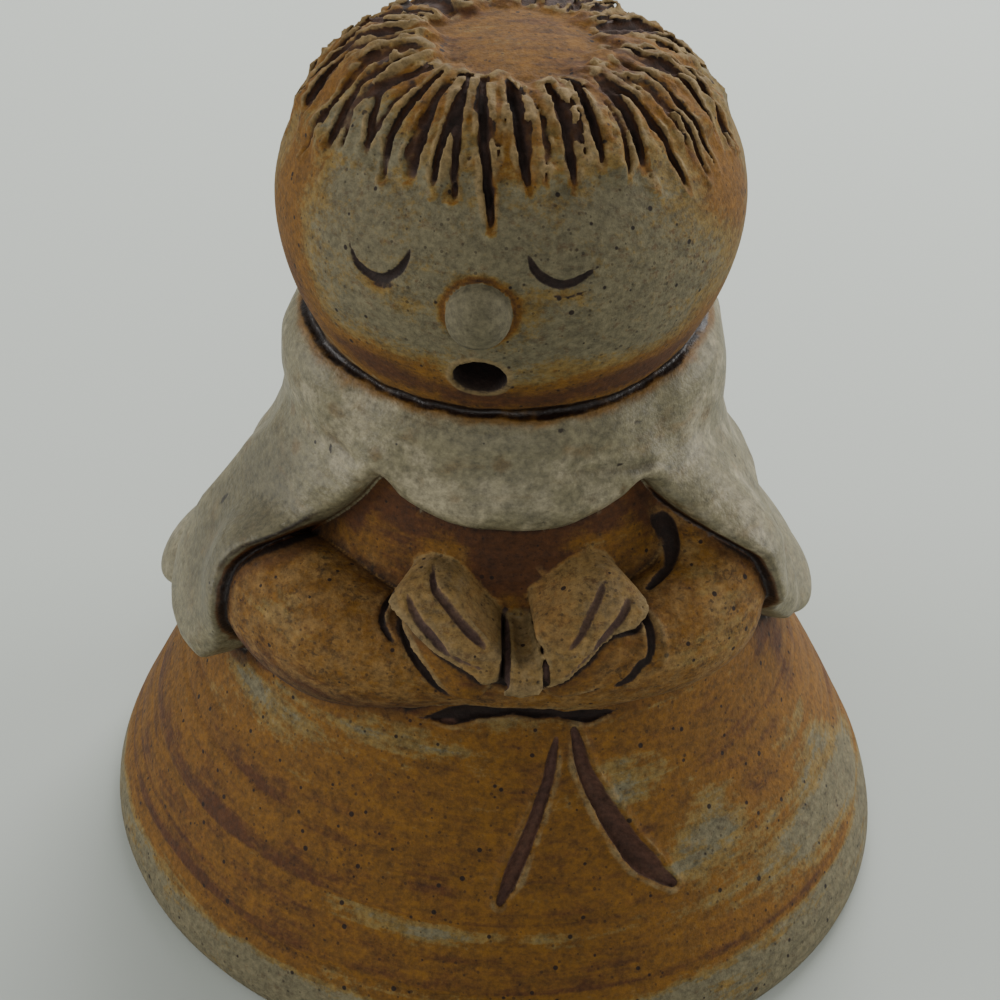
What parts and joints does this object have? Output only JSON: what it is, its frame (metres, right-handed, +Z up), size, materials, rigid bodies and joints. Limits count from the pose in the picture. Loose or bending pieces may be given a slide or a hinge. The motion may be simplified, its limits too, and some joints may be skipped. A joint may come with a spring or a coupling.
{
  "type": "singing angel figurine",
  "caption": "Small stoneware singing angel with combed hair, a white winged mantle, folded hands and a bell-shaped gown open below, to stand on a shelf.",
  "frame": {"origin": "centre of the foot ring's underside, on the surface that the figurine stands on", "axes": "+Z up, -Y towards the front, where the face looks, +X towards the figure's left hand"},
  "size_m": [0.1043, 0.1044, 0.1196],
  "materials": {
    "stoneware": "satin iron-washed stoneware, with a white satin glaze on the mantle"
  },
  "bodies": {
    "root": {"angel_figurine": "stoneware"}
  },
  "joints": []
}
